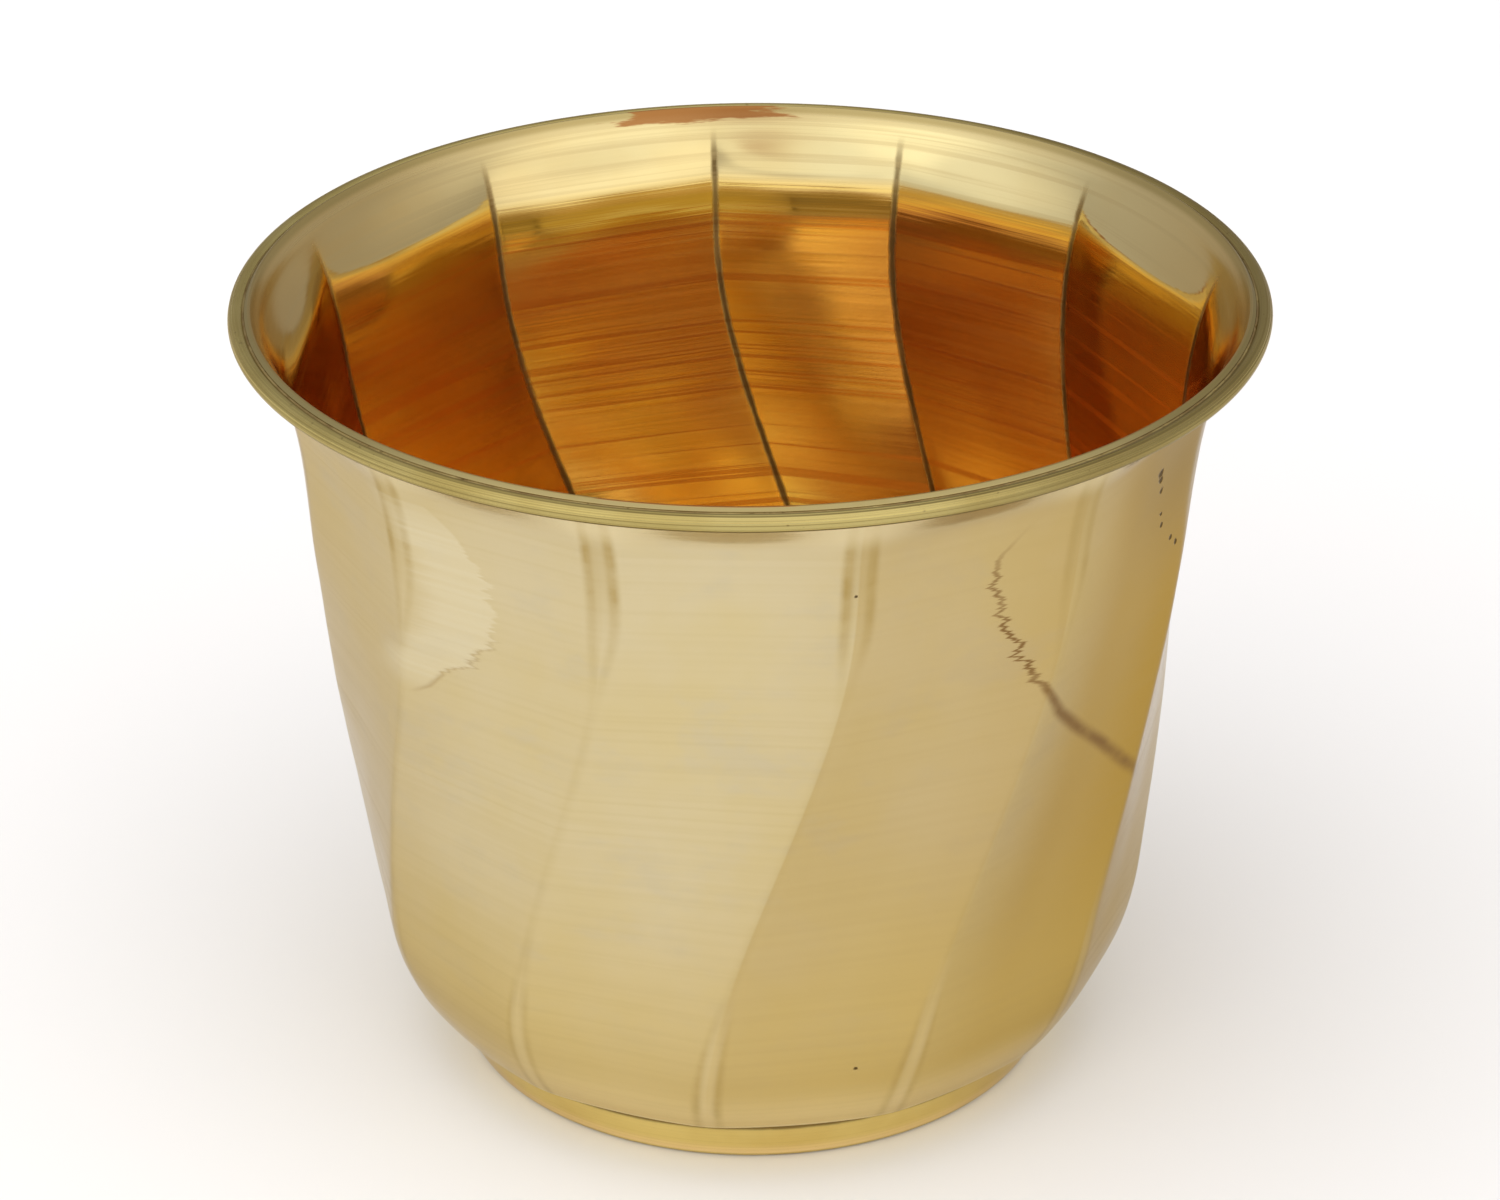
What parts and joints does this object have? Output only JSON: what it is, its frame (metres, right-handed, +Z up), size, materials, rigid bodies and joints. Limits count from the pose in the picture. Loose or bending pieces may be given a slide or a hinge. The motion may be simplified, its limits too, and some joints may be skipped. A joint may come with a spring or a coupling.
{
  "type": "brass pot",
  "caption": "Wide-mouthed brass pot with swirled panels, a flared lip stiffened by a solid ring, and a round lapped base pan; holds a plant, water or offerings.",
  "frame": {"origin": "centre of the flat ring that the base stands on", "axes": "+Z up along the pot's axis, -Y to the front, +X to the right"},
  "size_m": [0.15, 0.15, 0.12],
  "materials": {
    "polished_brass": "machine polished sheet brass with fine turning marks",
    "turned_brass": "solid wire, turned on a lathe, dull in its grooves",
    "yellow_brass": "polished, a little yellower than the wall",
    "brazing_alloy": "dull, pitted brazing metal"
  },
  "bodies": {
    "root": {"body_shell": "polished_brass", "rim_ring": "turned_brass", "rim_braze": "brazing_alloy", "base_pan": "yellow_brass", "foot_braze": "brazing_alloy"}
  },
  "joints": []
}
